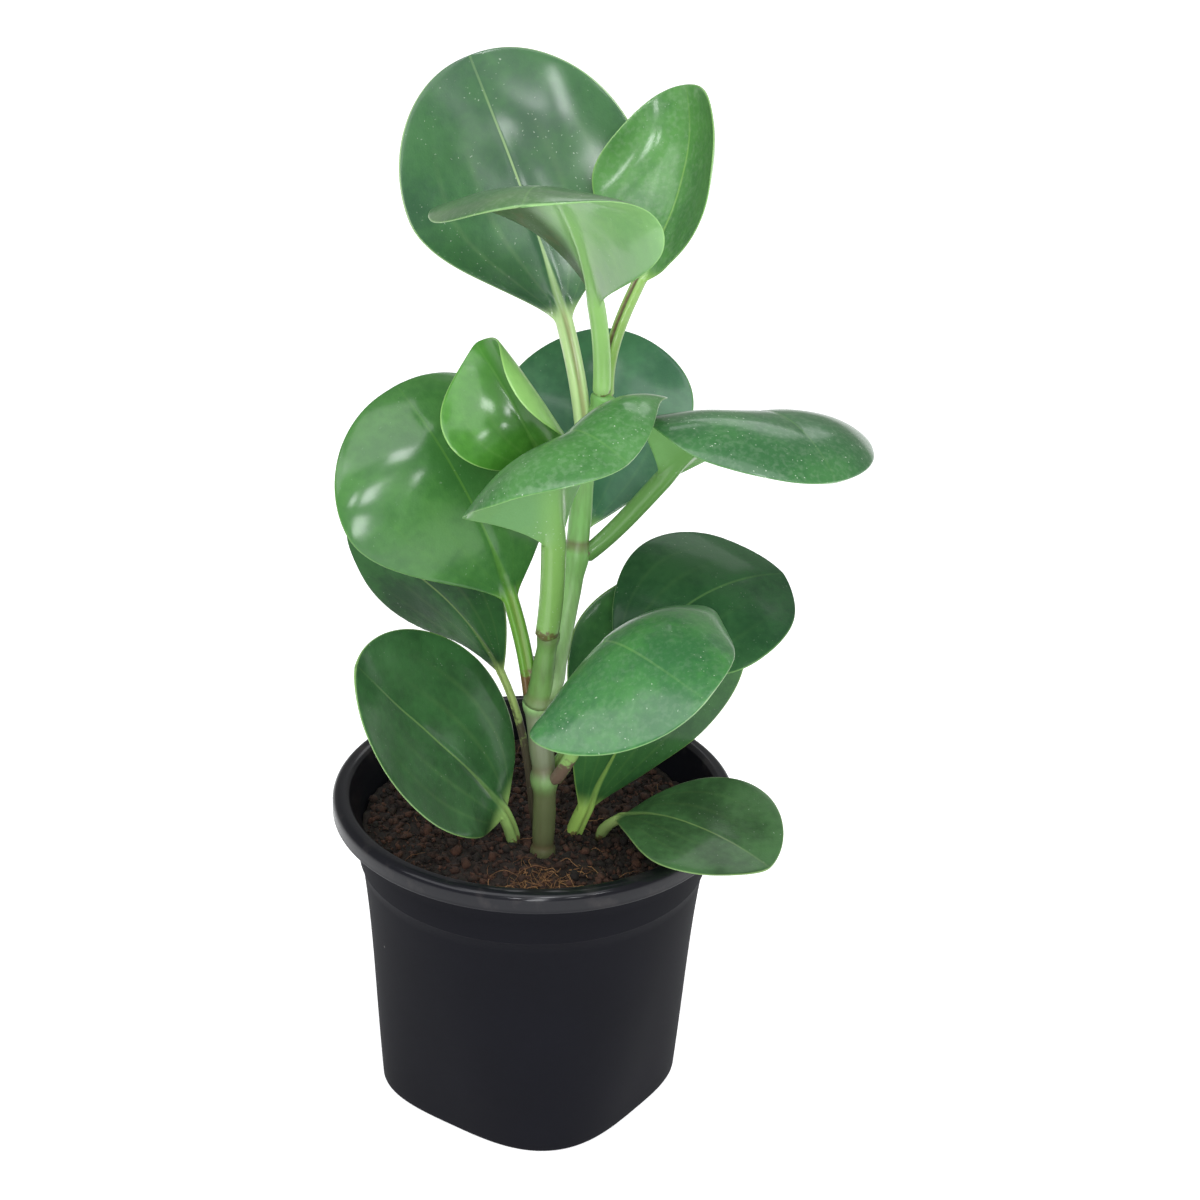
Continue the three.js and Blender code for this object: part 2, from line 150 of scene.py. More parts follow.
# %% The leaves' values
LEAVES = {
    "leaf_top": dict(
        midrib=((13.5, -2.5, 229), (11, 0, 262), (1, 23, 282), (-25, 43, 338)),
        stalk=0.31, stalk_radius=2.7, facing=(-77, 30), twist=-7,
        width=77, widest=0.51, taper=(1.25, 0.45), cup=(20, 26), fold=2, opening=0.1,
    ),
    "leaf_top_right": dict(
        midrib=((20, -1, 245), (16, -8, 282), (50, 27, 294), (41, 33, 334)),
        stalk=0.38, stalk_radius=2.1, facing=(-141, 28), twist=-1,
        width=57, widest=0.47, taper=(0.95, 0.43), cup=(64, 36), fold=12, opening=0.5,
    ),
    "leaf_top_front": dict(
        midrib=((18, -3, 247), (20, -5, 287), (0, -14, 332), (-5, -54, 325)),
        stalk=0.28, stalk_radius=2.8, facing=(42, 79), twist=38,
        width=76, widest=0.58, taper=(1.1, 0.4), cup=(-15, -29), fold=-2, opening=0.6,
    ),
    "leaf_young": dict(
        midrib=((13.5, -5, 227), (4, -29, 221), (3, -46, 247), (-19, -22, 271)),
        stalk=0.41, stalk_radius=1.8, facing=(-116, 43), twist=-35,
        width=47, widest=0.51, taper=(1.1, 0.75), cup=(30, 128), fold=12, opening=0.1,
    ),
    "leaf_front_middle": dict(
        midrib=((3, -24, 175), (10, -32, 223), (-6, -57, 279), (26, -77, 258)),
        stalk=0.31, stalk_radius=3.8, facing=(175, 67), twist=5,
        width=73, widest=0.57, taper=(1.18, 0.5), cup=(-56, -50), fold=25, opening=0.8,
    ),
    "leaf_right": dict(
        midrib=((12.5, -5.5, 194), (41, 3, 212), (61, -16, 281), (86, -56, 245)),
        stalk=0.30, stalk_radius=3.1, facing=(58, 75), twist=22,
        width=77, widest=0.56, taper=(1.07, 0.47), cup=(-37, -36), fold=11, opening=1.0,
    ),
    "leaf_back": dict(
        midrib=((11, -3, 194), (15, 10, 197), (19, 21, 234), (17, 43, 251)),
        stalk=0.13, stalk_radius=2.2, facing=(-93, 39), twist=8,
        width=59, widest=0.62, taper=(0.9, 0.54), cup=(0, 2), fold=0, opening=-0.2,
    ),
    "leaf_left": dict(
        midrib=((-1, -15, 148), (-5, -11, 185), (-21, -31, 233), (-44, -2, 248)),
        stalk=0.31, stalk_radius=2.5, facing=(-92, 55), twist=2,
        width=76, widest=0.59, taper=(1.19, 0.39), cup=(-20, -42), fold=2, opening=0.4,
    ),
    "leaf_right_middle": dict(
        midrib=((5, -15, 122), (22, -17, 153), (40, -18, 196), (77, 15, 180)),
        stalk=0.40, stalk_radius=1.8, facing=(-110, 43), twist=-28,
        width=57, widest=0.52, taper=(0.80, 0.50), cup=(-14, 9), fold=-3, opening=0.0,
    ),
    "leaf_right_front": dict(
        midrib=((6, -20, 122), (33, -33, 168), (-2, -32, 201), (51, -79, 185)),
        stalk=0.28, stalk_radius=2.3, facing=(151, 26), twist=5,
        width=77, widest=0.52, taper=(0.89, 0.49), cup=(-58, -5), fold=-3, opening=1.0,
    ),
    "leaf_left_dark": dict(
        midrib=((0, -3, 98), (-3, -8, 137), (-7, -7, 174), (-61, 18, 190)),
        stalk=0.44, stalk_radius=1.4, facing=(-143, 5), twist=3,
        width=50, widest=0.50, taper=(1.07, 0.59), cup=(-10, -10), fold=-4, opening=-0.7, buried=14,
    ),
    "leaf_lower_left": dict(
        midrib=((-6, -15, 98), (-10, -26, 126), (-34, -24, 138), (-54, -36, 170)),
        stalk=0.14, stalk_radius=2.4, facing=(-77, 63), twist=3,
        width=65, widest=0.52, taper=(0.61, 0.47), cup=(16, 8), fold=6, opening=-0.3, buried=14,
    ),
    "leaf_tall_right": dict(
        midrib=((13, -6, 95), (20, -9, 119), (41, 12, 141), (47, 18, 182)),
        stalk=0.09, stalk_radius=2.8, facing=(-60, -5), twist=-22,
        width=64, widest=0.61, taper=(0.94, 0.54), cup=(-18, 14), fold=-3, opening=0.3, buried=14,
    ),
    "leaf_lower_right": dict(
        midrib=((22, -10, 98), (27, -21, 116), (47, -23, 117), (74, -48, 110)),
        stalk=0.17, stalk_radius=1.9, facing=(-51, 79), twist=7,
        width=52, widest=0.56, taper=(1.03, 0.60), cup=(5, -3), fold=7, opening=-0.1, buried=14,
    ),
}
print(len(LEAVES), "leaves")

# %% [markdown]
# ## From values to a leaf
#
# Along the leaf the script walks the midrib, a Bezier curve, at even steps of its real length, and closer
# together where the blade begins and ends. At each station it needs the curve's place, its direction, and
# which way the upper face looks. Across the leaf it walks from the left edge over the upper face to the
# right edge and back along the lower face, again closer together at the edges, where the blade rounds off,
# and at the midrib, which is a groove above and a ridge below.

# %% Along the midrib
ROOTED = 2.0  # mm, how far a stalk's foot reaches into the stem
STALK_STATIONS = 14
BLADE_STATIONS = 76
AROUND = 96


def midrib_frames(leaf):
    """For each station: the blade's share, the midrib's place and its three directions, and its length."""
    steps = 240
    curve = geometry.interpolate_bezier(*(Vector(p) for p in leaf["midrib"]), steps + 1)
    lengths = [0.0]
    for a, b in zip(curve, curve[1:]):
        lengths.append(lengths[-1] + (b - a).length)

    def walk(distance):
        k = min(steps - 1, max(0, next((i for i, d in enumerate(lengths) if d > distance), steps) - 1))
        part = (distance - lengths[k]) / (lengths[k + 1] - lengths[k])
        before, after = curve[max(0, k - 1)], curve[min(steps, k + 2)]
        return curve[k].lerp(curve[k + 1], part), (after - before).normalized()

    azimuth, elevation = (math.radians(angle) for angle in leaf["facing"])
    facing = Vector((
        math.cos(azimuth) * math.cos(elevation),
        math.sin(azimuth) * math.cos(elevation),
        math.sin(elevation),
    ))
    base = leaf["stalk"] * lengths[-1]
    frames = []
    for station in range(STALK_STATIONS + BLADE_STATIONS + 1):
        if station < STALK_STATIONS:
            share = 0.0
            distance = base * station / STALK_STATIONS
        else:
            even = (station - STALK_STATIONS) / BLADE_STATIONS
            share = (1 - math.cos(math.pi * even)) / 2
            distance = mix(base, lengths[-1], share)
        centre, forward = walk(distance)
        if station == 0:
            centre = centre - forward * leaf.get("buried", ROOTED)
        normal = (facing - facing.dot(forward) * forward).normalized()
        normal.rotate(Matrix.Rotation(math.radians(leaf["twist"]) * (share - 0.5), 3, forward))
        frames.append((share, centre, normal.cross(forward), normal, distance))
    return frames


# %% Across the blade
BLADE_EDGE = 0.36  # mm, half the blade's thickness near its edge
BLADE_MIDDLE = 0.25  # mm, more than that in the middle
EDGE_POWER = 24  # how close to the edge the rounding begins
MIDRIB_SOFTNESS = 4.0  # mm over which the blade's halves turn out of the midrib
GROOVE = 0.45  # mm, the midrib's groove in the upper face
CHANNEL = 0.4  # depth of the stalk's channel as a share of its radius
UNDULATION = 0.5  # mm, the blade's uneven growth


def half_width(leaf, share):
    """Half the blade's width in mm at a share of its length."""
    widest = leaf["widest"]
    if share < widest:
        outline = math.sin(math.pi / 2 * share / widest) ** leaf["taper"][0]
    else:
        outline = max(0.0, math.cos(math.pi / 2 * (share - widest) / (1 - widest))) ** leaf["taper"][1]
    return math.hypot(leaf["width"] / 2 * outline, leaf["stalk_radius"] * (1 - share) ** 2)


def bent(s, fold, bend):
    """Where a spot s mm out from the midrib lies once its half is folded and cupped: out, up, slope."""
    parts = 8
    out = up = 0.0
    for part in range(parts):
        at = s * (part + 0.5) / parts
        slope = fold * (1 - math.exp(-at / MIDRIB_SOFTNESS)) + bend * at
        out += math.cos(slope) * s / parts
        up += math.sin(slope) * s / parts
    return out, up, fold * (1 - math.exp(-s / MIDRIB_SOFTNESS)) + bend * s


def leaf_piece(name, leaf):
    frames = midrib_frames(leaf)
    radius = leaf["stalk_radius"]
    edge = min(BLADE_EDGE, radius)
    seed = Vector(leaf["midrib"][3])

    def place(station, turn):
        share, centre, left, normal, along = frames[station]
        in_blade = station > STALK_STATIONS
        width = half_width(leaf, share) if in_blade else radius
        angle = 2 * math.pi * turn
        reach = math.cos(angle)
        middling = smooth(share / 0.25)
        v = mix(reach, reach * (0.45 + 0.55 * reach * reach), middling)
        s = abs(v) * width
        side = 1 if v > 0 else -1
        upper = math.sin(angle)
        begun = smooth(share / 0.12)
        opening = 1 + leaf["opening"] * (2 * share - 1)
        cup = math.radians(leaf["cup"][0 if v > 0 else 1]) * opening * begun
        out, up, slope = bent(s, math.radians(leaf["fold"]) * begun, cup / (leaf["width"] / 2))
        grown = noise.noise(Vector((along, v * width, 0)) / 17 + seed) * UNDULATION * begun
        rounding = math.sqrt(max(0.0, 1 - abs(v) ** mix(2, EDGE_POWER, begun)))
        stalk = math.sqrt(max(0.0, 1 - (s / radius) ** 2))
        rib = mix(stalk, math.exp(-((s / radius) * 1.2) ** 2), begun)
        tip = min(1.0, width / 1.5)
        if upper >= 0:
            thick = edge * rounding + (radius - edge) * (1 - smooth(share / 0.14)) * rib
            thick -= GROOVE * begun * (1 - share) * math.exp(-((s / 1.1) ** 2))
            thick -= CHANNEL * radius * (1 - begun) * math.exp(-((s / radius / 0.45) ** 2))
        else:
            thick = -(edge * rounding + (radius - edge) * (1 - share) ** 2.5 * rib)
        thick += math.copysign(BLADE_MIDDLE * (1 - v * v) * middling, upper)
        thick *= tip if abs(upper) > 1e-6 else 0
        closed = 0.0 if station == 0 or share > 0.9999 else 1.0
        spot = centre + closed * (
            left * side * (out - thick * math.sin(slope)) + normal * (up + grown + thick * math.cos(slope))
        )
        rim = width - s if in_blade else 9.0
        return spot, (share, along, s, rim, v, smooth(0.5 + 4 * upper))

    stored = ("share", "foot", "rib", "rim", "across", "face")
    return rolled_skin(name, len(frames) - 1, AROUND, stored, place)


# %% Make the leaves
leaves = {name: leaf_piece(name + "_skin", leaf) for name, leaf in LEAVES.items()}
for name, piece in leaves.items():
    print(name, len(piece.data.polygons), "faces")

# %% [markdown]
# ## The stem
#
# A peperomia's stem is a chain of fleshy internodes. Each joint swells a little, and just above it a thin
# ring marks where a leaf or its sheath sat. The main stem, the side branch and the small bud are three
# such limbs that grew out of one joint, so they are three closed skins, one in the other, in one object.

# %% The stem's joints
JOINTS = {  # place and radius in mm, and how brown the ring above it is
    "root": ((3.5, -19, 84), 3.6, 0.0),
    "foot": ((3.5, -19, 96), 4.1, 0.5),
    "first": ((3.5, -18, 122), 4.5, 0.5),
    "second": ((1.0, -16, 148), 4.9, 0.3),
    "fork": ((5.3, -15, 157), 3.9, 0.0),
    "third": ((11.5, -6, 195), 4.4, 1.0),
    "fourth": ((14, -4, 228), 3.8, 0.4),
    "top": ((18.5, -2, 246), 3.9, 0.0),
    "branch": ((4, -23, 176), 3.5, 0.6),
    "bud": ((-1.5, -12, 162), 1.2, 0.0),
}
LIMBS = {
    "main": ("root", "foot", "first", "second", "fork", "third", "fourth", "top"),
    "branch": ("second", "branch"),
    "bud": ("second", "bud"),
}
INTERNODE = 0.82  # an internode's radius as a share of its joints'
RING_DEPTH = 0.35  # mm, the groove above a joint
TINTS = {  # along each limb, counted in joints: the place, and how purple, brown and pale it is there
    "main": (
        (0.0, 0.1, 1.0, 0.0), (1.8, 0.15, 0.9, 0.0), (2.0, 0.0, 0.4, 0.5), (2.2, 0.6, 0.5, 0.2),
        (2.8, 0.7, 0.3, 0.3), (3.0, 0.0, 0.1, 0.7), (3.5, 0.3, 0.4, 0.3), (4.0, 0.2, 0.1, 0.8),
        (4.6, 0.0, 0.1, 0.6), (4.95, 0.0, 0.0, 0.25), (5.3, 0.0, 0.0, 0.15), (7.0, 0.0, 0.0, 0.1),
    ),
    "branch": ((0.0, 0.3, 0.6, 0.1), (0.25, 0.0, 0.45, 0.0), (0.85, 0.0, 0.4, 0.0), (1.0, 0.1, 0.6, 0.0)),
    "bud": ((0.0, 0.4, 0.3, 0.2), (1.0, 0.9, 0.1, 0.4)),
}
STEPS = 22  # stations from joint to joint
STEM_AROUND = 36


def tint_at(marks, place):
    """Purple, brown and pale at a place on a limb, blended between the marks on either side."""
    for before, after in zip(marks, marks[1:]):
        if place <= after[0]:
            share = smooth((place - before[0]) / (after[0] - before[0]))
            return [mix(a, b, share) for a, b in zip(before[1:], after[1:])]
    return marks[-1][1:]


def catmull(points, k, part):
    """A spot between points k and k + 1 of a smooth line through all of them."""
    before = points[k - 1] if k else points[k] * 2 - points[k + 1]
    after = points[k + 2] if k + 2 < len(points) else points[k + 1] * 2 - points[k]
    a, b = points[k], points[k + 1]
    t = part
    return 0.5 * (
        2 * a + (b - before) * t + (2 * before - 5 * a + 4 * b - after) * t * t
        + (3 * a - before - 3 * b + after) * t ** 3
    )


def limb_piece(name, joints, tints):
    points = [Vector(JOINTS[joint][0]) for joint in joints]
    radii = [JOINTS[joint][1] for joint in joints]
    rings = [JOINTS[joint][2] for joint in joints]
    spans = len(points) - 1
    total = spans * STEPS + 8

    def place(station, turn):
        cap = max(0, station - spans * STEPS)
        inside = min(station, spans * STEPS)
        k = min(spans - 1, inside // STEPS)
        part = inside / STEPS - k
        here = catmull(points, k, part)
        along = (catmull(points, k, min(1, part + 0.02)) - catmull(points, k, max(0, part - 0.02)))
        along.normalize()
        swell = max(1 - part / 0.22, (part - 0.8) / 0.2, 0)
        radius = mix(radii[k], radii[k + 1], part) * mix(INTERNODE, 1, smooth(swell))
        above = (part * (points[k + 1] - points[k]).length - radii[k] * 0.9) / 0.8
        ring = math.exp(-(above ** 2)) * (1 if rings[k] else 0)
        radius -= RING_DEPTH * ring
        round_and_back = turn if turn < 0.5 else 1 - turn
        radius += 0.25 * noise.noise(here * 0.11 + Vector((round_and_back * 5, 0, 0)))
        if cap:
            dome = math.pi / 2 * cap / 8
            here = here + along * radius * 0.6 * math.sin(dome)
            radius *= math.cos(dome)
        if station in (0, total):
            radius = 0
        side = Vector((1, 0, 0)).cross(along).normalized()
        other = along.cross(side)
        angle = 2 * math.pi * turn
        spot = here + radius * (side * math.cos(angle) + other * math.sin(angle))
        stain = math.exp(-((above / 1.6) ** 2)) * rings[k]
        return spot, (*tint_at(tints, inside / STEPS), stain)

    return rolled_skin(name, total, STEM_AROUND, ("purple", "brown", "pale", "ring"), place)


def united(name, limbs):
    """One object of closed skins that grew into each other, with the values stored on their vertices."""
    whole = bmesh.new()
    for limb in limbs:
        skin = limb.data
        whole.from_mesh(skin)
        bpy.data.objects.remove(limb)
        bpy.data.meshes.remove(skin)
    return finished_object(name, whole)


stem = united("stem_skin", [limb_piece(name, joints, TINTS[name]) for name, joints in LIMBS.items()])
print("stem", len(stem.data.polygons), "faces")

# %% [markdown]
# ## The pot
#
# The real pot is injection-moulded: a round rolled rim, a band below it with a small step, and a body that
# narrows and turns from round into a square with round corners, so that pots stack and stand close. It is
# made by extruding one ring of edges from level to level. Each level is a superellipse, which is a circle
# at a power of 2 and a rounded square at a higher one.

# %% The pot's values
POT = dict(
    height=108, rim=65, mouth=59.2, lip=7, band=23.5, band_radius=56.6, neck=55.8,
    base=43.3, squareness=3.15, turn=math.radians(-34.5), wall=1.4, floor=1.8, foot=1.3,
)
POT_SIDES = 176
STEP_HEIGHT = POT["height"] - POT["band"]
LIP_HEIGHT = POT["height"] - POT["lip"]
SQUARES_LATE = 1.9  # power that keeps the body round through its upper part


def pot_ring(height, half, squareness):
    """The spots of one level ring in mm."""
    for k in range(POT_SIDES):
        angle = 2 * math.pi * k / POT_SIDES
        across = abs(math.cos(angle - POT["turn"])) ** squareness
        along = abs(math.sin(angle - POT["turn"])) ** squareness
        radius = half / (across + along) ** (1 / squareness)
        yield Vector((radius * math.cos(angle), radius * math.sin(angle), height))


def body_level(height, inset=0.0):
    """Height, half width and squareness of the body's section at a height."""
    share = height / STEP_HEIGHT
    half = mix(POT["base"], POT["neck"], share)
    return height, half - inset, mix(2, POT["squareness"], max(0, 1 - share) ** SQUARES_LATE)


def arc_levels(radius, height, size, start, end, steps):
    """Levels along a round edge: an arc of `size` mm about a radius and a height, angles in degrees."""
    for k in range(steps + 1):
        angle = math.radians(mix(start, end, k / steps))
        yield height + size * math.sin(angle), radius + size * math.cos(angle), 2


def pot_levels():
    """Every level of the pot's skin, up the outside, over the rim and down the inside."""
    foot = POT["foot"]
    for k in range(7):
        angle = math.pi / 2 * k / 6
        height = foot * (1 - math.cos(angle))
        yield body_level(height, foot * (1 - math.sin(angle)))
    body_steps = 24
    for k in range(1, body_steps):
        yield body_level(mix(foot, STEP_HEIGHT - 0.6, k / body_steps))
    yield body_level(STEP_HEIGHT - 0.2)
    yield from arc_levels(POT["band_radius"] - 0.6, STEP_HEIGHT + 0.8, 0.6, -60, 0, 4)
    yield STEP_HEIGHT + 8, POT["band_radius"] + 0.4, 2
    yield LIP_HEIGHT - 0.5, POT["band_radius"] + 1, 2
    yield LIP_HEIGHT - 0.1, POT["band_radius"] + 1.4, 2
    yield from arc_levels(POT["rim"] - 1.2, LIP_HEIGHT + 1.2, 1.2, -90, 0, 5)
    yield from arc_levels(POT["rim"] - 2.6, POT["height"] - 2.6, 2.6, 0, 90, 8)
    yield from arc_levels(POT["mouth"] + 2.0, POT["height"] - 2.0, 2.0, 90, 180, 6)
    yield LIP_HEIGHT, POT["band_radius"] + 1 - POT["wall"], 2
    yield STEP_HEIGHT + 1, POT["band_radius"] - POT["wall"], 2
    inner_steps = 8
    for k in range(inner_steps):
        height = mix(STEP_HEIGHT, POT["floor"] + foot, k / (inner_steps - 1))
        yield body_level(height, POT["wall"])
    yield body_level(POT["floor"], POT["wall"] + foot)


# %% Extrude the pot from ring to ring
def pot_skin():
    shape = bmesh.new()
    start = bmesh.ops.create_circle(shape, segments=POT_SIDES, radius=1)
    ring = start["verts"]
    edges = shape.edges[:]
    for k, level in enumerate(pot_levels()):
        if k:
            grown = bmesh.ops.extrude_edge_only(shape, edges=edges)["geom"]
            ring = [part for part in grown if isinstance(part, bmesh.types.BMVert)]
            edges = [part for part in grown if isinstance(part, bmesh.types.BMEdge)]
        for vert, spot in zip(ring, pot_ring(*level)):
            vert.co = spot * MM
    open_edges = [edge for edge in shape.edges if edge.is_boundary]
    bmesh.ops.holes_fill(shape, edges=open_edges, sides=0)
    return finished_object("pot_shell", shape)


pot = pot_skin()
HOLES = dict(radius=4.5, count=8, ring=29)


def drilled(piece):
    """Cuts the ring of drain holes out of the floor with one set of cylinders."""
    cutter_shape = bmesh.new()
    for k in range(HOLES["count"]):
        angle = POT["turn"] + 2 * math.pi * k / HOLES["count"]
        spot = Vector((math.cos(angle), math.sin(angle), 0)) * HOLES["ring"] * MM
        bmesh.ops.create_cone(
            cutter_shape, cap_ends=True, segments=32, radius1=HOLES["radius"] * MM,
            radius2=HOLES["radius"] * MM, depth=4 * POT["floor"] * MM, matrix=Matrix.Translation(spot),
        )
    cutter = finished_object("drain_cutter", cutter_shape)
    bpy.context.view_layer.objects.active = piece
    cut = piece.modifiers.new("drain", "BOOLEAN")
    cut.operation = "DIFFERENCE"
    cut.solver = "EXACT"
    cut.object = cutter
    bpy.ops.object.modifier_apply(modifier=cut.name)
    bpy.data.objects.remove(cutter)
    return piece


drilled(pot)
print("pot", len(pot.data.polygons), "faces")

# %% [markdown]
# ## The soil
#
# Peat and coir make a crumbly, uneven top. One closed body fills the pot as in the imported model, and its
# top is a fine net of rings that noise lifts and sinks. On it lie loose crumbs and coir fibres, each kind
# one object, scattered with a seeded random generator, so that each lies in the same place in every run.
# Only the crumbs' lumps differ from run to run, as Blender's noise_vector starts from the clock.

# %% The soil's body
SOIL = dict(top=95.0, crown=1.5, edge_gap=0.3)
SOIL_RINGS = 80


def soil_height(x, y):
    """The soil's surface in mm at a place, with lumps from 12 mm down to 1 mm."""
    lumps = sum(
        amount * noise.noise(Vector((x, y, 7.0)) / size)
        for size, amount in ((12, 2.2), (5, 1.6), (2.2, 1.1), (1.1, 0.5))
    )
    share = math.hypot(x, y) / 57
    return SOIL["top"] + SOIL["crown"] * (1 - share) + lumps * 0.8


def soil_skin():
    inset = POT["wall"] + SOIL["edge_gap"]
    levels = [
        body_level(POT["floor"] + SOIL["edge_gap"], inset + POT["foot"]),
        body_level(POT["floor"] + POT["foot"] + SOIL["edge_gap"], inset),
        body_level(STEP_HEIGHT * 0.5, inset),
        body_level(STEP_HEIGHT, inset),
    ]
    rim = POT["band_radius"] + 0.6 - inset
    levels.append((SOIL["top"] - 4, rim, 2))
    shape = bmesh.new()
    start = bmesh.ops.create_circle(shape, segments=POT_SIDES, radius=1)
    ring = start["verts"]
    edges = shape.edges[:]
    levels += [(None, rim * (1 - k / SOIL_RINGS) ** 0.9 + 0.02, 2) for k in range(SOIL_RINGS)]
    for k, (height, half, squareness) in enumerate(levels):
        if k:
            grown = bmesh.ops.extrude_edge_only(shape, edges=edges)["geom"]
            ring = [part for part in grown if isinstance(part, bmesh.types.BMVert)]
            edges = [part for part in grown if isinstance(part, bmesh.types.BMEdge)]
        for vert, spot in zip(ring, pot_ring(height or 0, half, squareness)):
            if height is None:
                spot.z = soil_height(spot.x, spot.y)
            vert.co = spot * MM
    open_edges = [edge for edge in shape.edges if edge.is_boundary]
    bmesh.ops.holes_fill(shape, edges=open_edges, sides=0)
    return finished_object("soil_body", shape)


soil = soil_skin()
print("soil", len(soil.data.polygons), "faces")

# %% Many small pieces as one object
HANDFUL = 60


def scattered(name, count, add_piece):
    """One object of many small pieces, made by the handful, as a small bmesh is quick to add to."""
    whole = bmesh.new()
    for first in range(0, count, HANDFUL):
        handful = bmesh.new()
        tone = handful.verts.layers.float.new("tone")
        for k in range(first, min(first + HANDFUL, count)):
            add_piece(handful, tone, k)
        batch = bpy.data.meshes.new("handful")
        handful.to_mesh(batch)
        handful.free()
        whole.from_mesh(batch)
        bpy.data.meshes.remove(batch)
    return finished_object(name, whole)


draw = random.Random(7)
LOOSE_REACH = 53.5  # mm from the pot's middle, just inside its wall


def scattered_place(reach=LOOSE_REACH):
    """A random place on the soil in mm, evenly spread."""
    angle = draw.uniform(0, 2 * math.pi)
    radius = reach * math.sqrt(draw.random())
    return radius * math.cos(angle), radius * math.sin(angle)


# %% Crumbs
CRUMBS = 5000
CRUMB_LEAST, CRUMB_SPREAD = 0.4, 1.9  # mm, the least radius, and what the largest has more
CRUMB_RARITY = 4  # power that makes large crumbs rare


def add_crumb(shape, tone, _):
    x, y = scattered_place()
    size = CRUMB_LEAST + CRUMB_SPREAD * draw.random() ** CRUMB_RARITY
    turn = Matrix.Rotation(draw.uniform(0, 2 * math.pi), 4, (draw.random(), draw.random(), 1))
    flat = Matrix.Diagonal((size, size * draw.uniform(0.4, 1), size * draw.uniform(0.35, 0.8), 1))
    spot = Vector((x, y, soil_height(x, y) + size * 0.3))
    lump = bmesh.ops.create_icosphere(
        shape, subdivisions=1, radius=MM, matrix=Matrix.Translation(spot * MM) @ turn @ flat,
    )["verts"]
    value = draw.random()
    for vert in lump:
        vert[tone] = value
        vert.co += noise.noise_vector(vert.co / MM * 1.3) * 0.6 * size * MM


crumbs = scattered("soil_crumbs", CRUMBS, add_crumb)
print("crumbs", len(crumbs.data.polygons), "faces")

# %% Coir fibres
FIBRES = 150
FRONT_TUFT = (5.0, -40.0)  # mm, where most of the coir shows, in front of the stem
FIBRE_STEPS = 9


def fibre_line(start, reach, heading, bow):
    """A gently bowed line over the soil's surface, as places in mm."""
    for k in range(FIBRE_STEPS + 1):
        part = k / FIBRE_STEPS
        angle = heading + bow * (part - 0.5)
        x = start[0] + reach * (part - 0.5) * math.cos(angle)
        y = start[1] + reach * (part - 0.5) * math.sin(angle)
        lift = 0.6 + 1.6 * math.sin(math.pi * part) * abs(math.sin(bow * 7))
        inward = min(1.0, LOOSE_REACH / math.hypot(x, y))
        x, y = x * inward, y * inward
        yield Vector((x, y, soil_height(x, y) + lift))


def add_fibre(shape, tone, k):
    tufted = k % 3 > 0
    if tufted:
        start = (FRONT_TUFT[0] + draw.gauss(0, 9), FRONT_TUFT[1] + draw.gauss(0, 5))
    else:
        start = scattered_place()
    reach = draw.uniform(4, 15 if tufted else 11)
    radius = draw.uniform(0.06, 0.14)
    points = list(fibre_line(start, reach, draw.uniform(0, 2 * math.pi), draw.uniform(-1.4, 1.4)))
    value = draw.random()
    ring = bmesh.ops.create_circle(shape, segments=4, radius=1)["verts"]
    edges = list({edge for vert in ring for edge in vert.link_edges})
    ends = edges[:]
    for step, point in enumerate(points):
        if step:
            grown = bmesh.ops.extrude_edge_only(shape, edges=edges)["geom"]
            ring = [part for part in grown if isinstance(part, bmesh.types.BMVert)]
            edges = [part for part in grown if isinstance(part, bmesh.types.BMEdge)]
        ahead = points[min(step + 1, len(points) - 1)] - points[max(step - 1, 0)]
        side = ahead.cross(Vector((0, 0, 1))).normalized()
        above = side.cross(ahead).normalized()
        thin = radius * (0.35 if step in (0, len(points) - 1) else 1)
        for j, vert in enumerate(ring):
            angle = math.pi / 2 * j
            vert.co = (point + thin * (side * math.cos(angle) + above * math.sin(angle))) * MM
            vert[tone] = value
    bmesh.ops.holes_fill(shape, edges=ends + edges, sides=0)


fibres = scattered("coir_fibres", FIBRES, add_fibre)
print("fibres", len(fibres.data.polygons), "faces")
